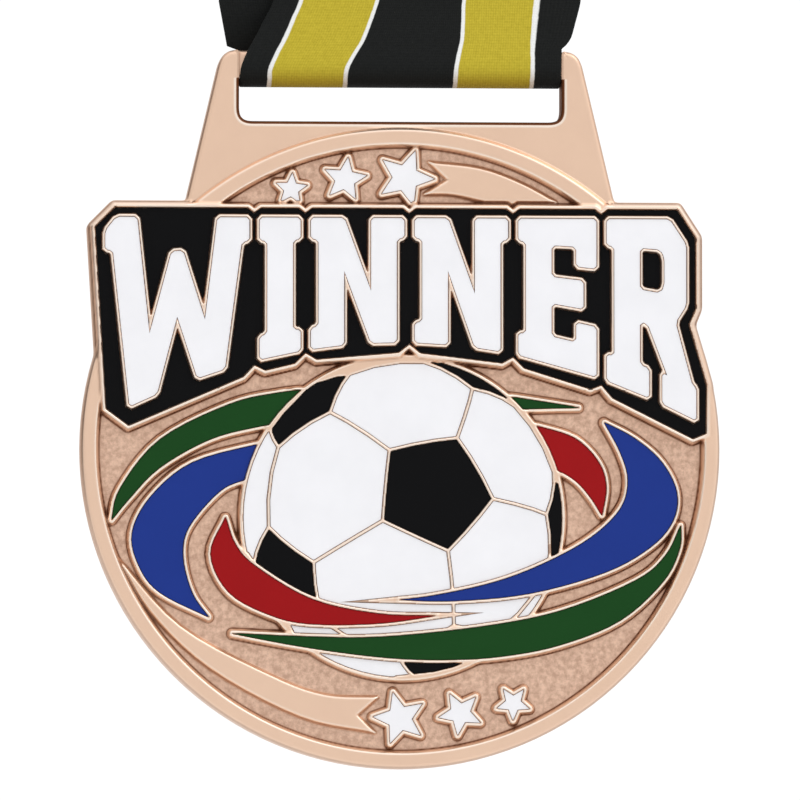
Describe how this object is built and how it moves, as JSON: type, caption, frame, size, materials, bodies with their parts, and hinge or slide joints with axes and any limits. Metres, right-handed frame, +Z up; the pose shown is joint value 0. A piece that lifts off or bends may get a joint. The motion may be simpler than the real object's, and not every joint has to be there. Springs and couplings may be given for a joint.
{
  "type": "sports finisher medal",
  "caption": "Round antique bronze sports medal with coloured enamel artwork and a slotted head, hanging in the fold of a striped neck ribbon that is wound into a hank.",
  "frame": {"origin": "middle of the top fold of the ribbon's hank, where a peg or a hand holds it", "axes": "+Z up, the medal's face towards -Y, +X to the right of someone who looks at the face"},
  "size_m": [0.076, 0.0123, 0.1432],
  "materials": {
    "antique_bronze": "satin antique bronze plating on a zinc casting, dark patina in the grooves",
    "white_enamel": "smooth enamel, softly glossy",
    "black_enamel": "smooth enamel, softly glossy",
    "green_enamel": "smooth enamel, softly glossy",
    "blue_enamel": "smooth enamel, softly glossy",
    "red_enamel": "smooth enamel, softly glossy",
    "woven_ribbon": "matt woven polyester, black with two gold stripes edged in white",
    "band_elastic": "matt black woven elastic",
    "thread": "matt black sewing thread"
  },
  "bodies": {
    "ribbon": {"neck_ribbon": "woven_ribbon", "ribbon_hank": "woven_ribbon", "hank_band": "band_elastic", "seam_stitching": "thread"},
    "medal": {"medal_body": "antique_bronze", "star_top_small": "white_enamel", "star_top_medium": "white_enamel", "star_top_large": "white_enamel", "star_bottom_large": "white_enamel", "star_bottom_medium": "white_enamel", "star_bottom_small": "white_enamel", "swoosh_green_left": "green_enamel", "swoosh_blue_left": "blue_enamel", "swoosh_red_right": "red_enamel", "swoosh_green_right": "green_enamel", "swoosh_red_left": "red_enamel", "swoosh_blue_right": "blue_enamel", "swoosh_green_bottom": "green_enamel", "ball_black_middle": "black_enamel", "ball_black_upper_left": "black_enamel", "ball_black_lower_left": "black_enamel", "ball_black_right": "black_enamel", "ball_black_bottom": "black_enamel", "ball_black_upper_right": "black_enamel", "ball_white_left": "white_enamel", "ball_white_top": "white_enamel", "ball_white_lower_left": "white_enamel", "ball_white_lower_right": "white_enamel", "ball_white_upper_right": "white_enamel", "ball_white_far_left": "white_enamel", "ball_white_strip_left": "white_enamel", "ball_white_strip_right": "white_enamel", "ball_white_strip_far_left": "white_enamel", "ball_white_strip_far_right": "white_enamel", "ball_white_bottom": "white_enamel", "banner_ground": "black_enamel", "letter_1": "white_enamel", "letter_2": "white_enamel", "letter_3": "white_enamel", "letter_4": "white_enamel", "letter_5": "white_enamel", "letter_6": "white_enamel", "letter_6_counter": "black_enamel"}
  },
  "joints": [
    {"name": "medal_swing", "type": "hinge", "parent": "ribbon", "child": "medal", "pos_m": [0, 0, -0.05966], "axis": [1, 0, 0], "range_deg": [-90, 90]}
  ]
}
